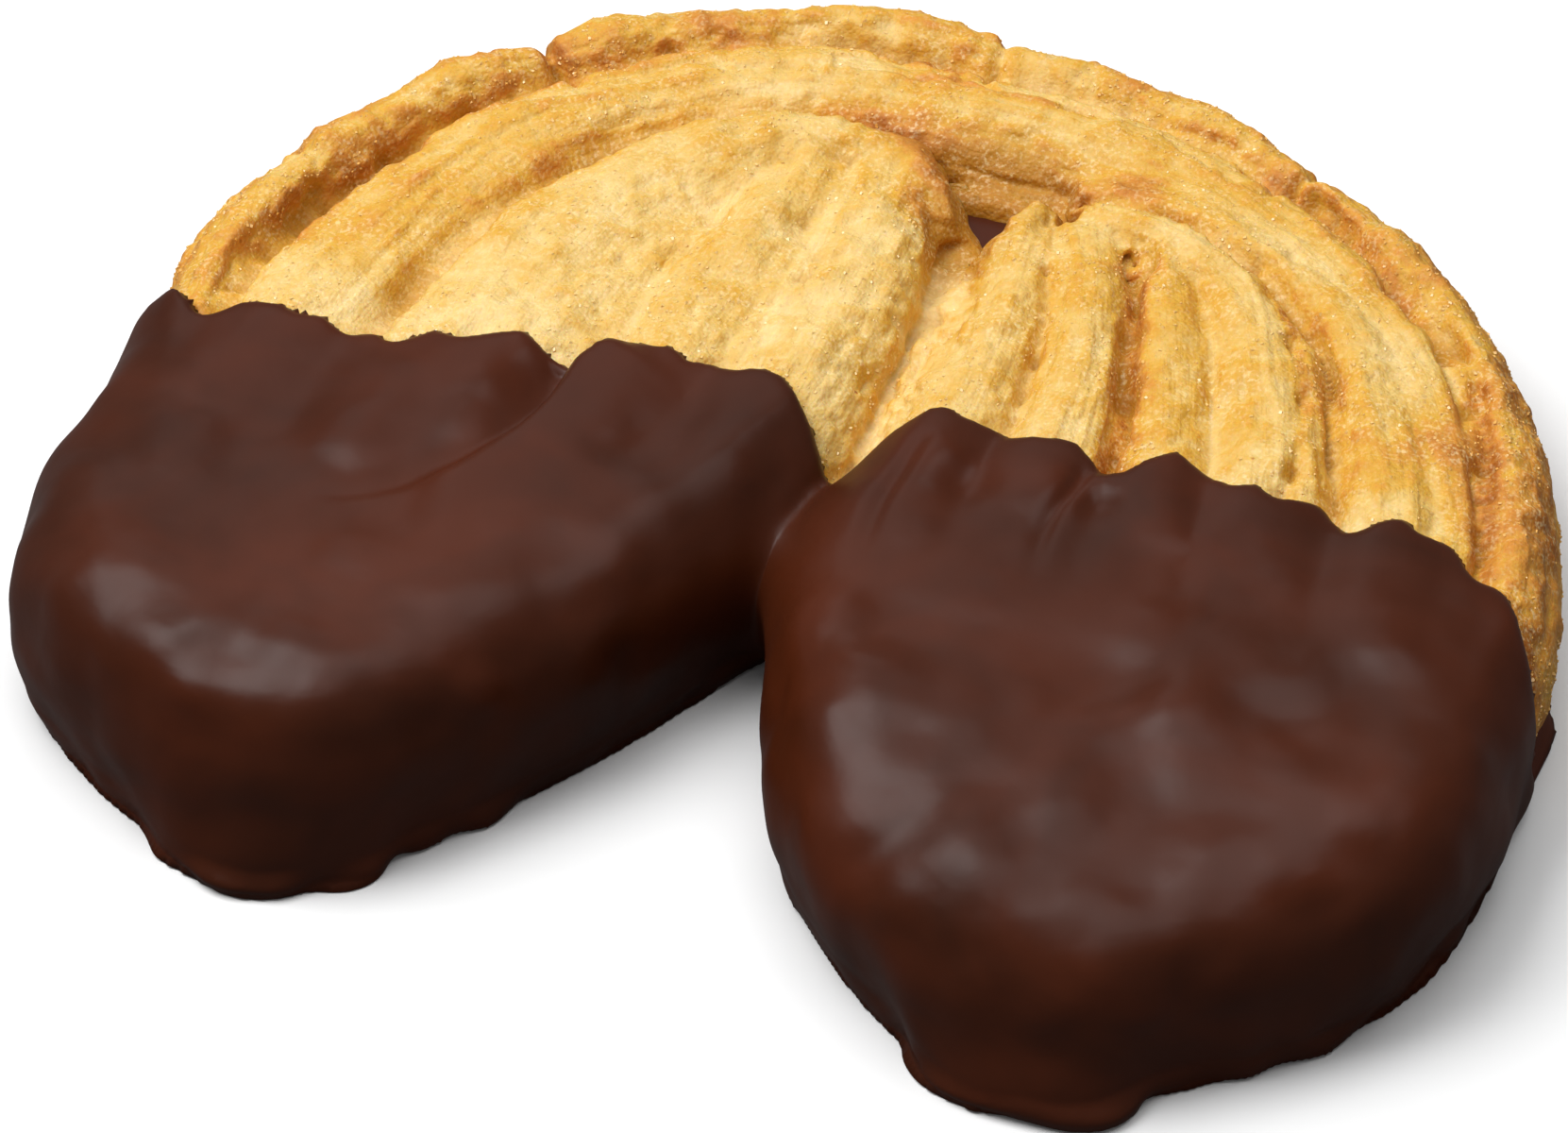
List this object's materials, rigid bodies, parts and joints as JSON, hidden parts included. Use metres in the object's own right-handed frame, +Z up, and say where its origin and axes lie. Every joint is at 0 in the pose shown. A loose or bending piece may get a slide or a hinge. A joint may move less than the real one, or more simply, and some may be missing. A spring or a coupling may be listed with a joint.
{
  "type": "palmier pastry",
  "caption": "Golden rolled puff pastry in the shape of two ears, with the ears and the underside dipped in dark chocolate.",
  "frame": {"origin": "middle of the plan, on the surface that the pastry lies on", "axes": "+X across the two ears, from the left ear to the right one; +Y from the ears' tips to the arc of the roll; +Z up from the surface"},
  "size_m": [0.1216, 0.1073, 0.0192],
  "materials": {
    "pastry": "baked, sugared puff pastry",
    "chocolate": "satin dark chocolate"
  },
  "bodies": {
    "root": {"pastry": "pastry", "chocolate": "chocolate"}
  },
  "joints": []
}
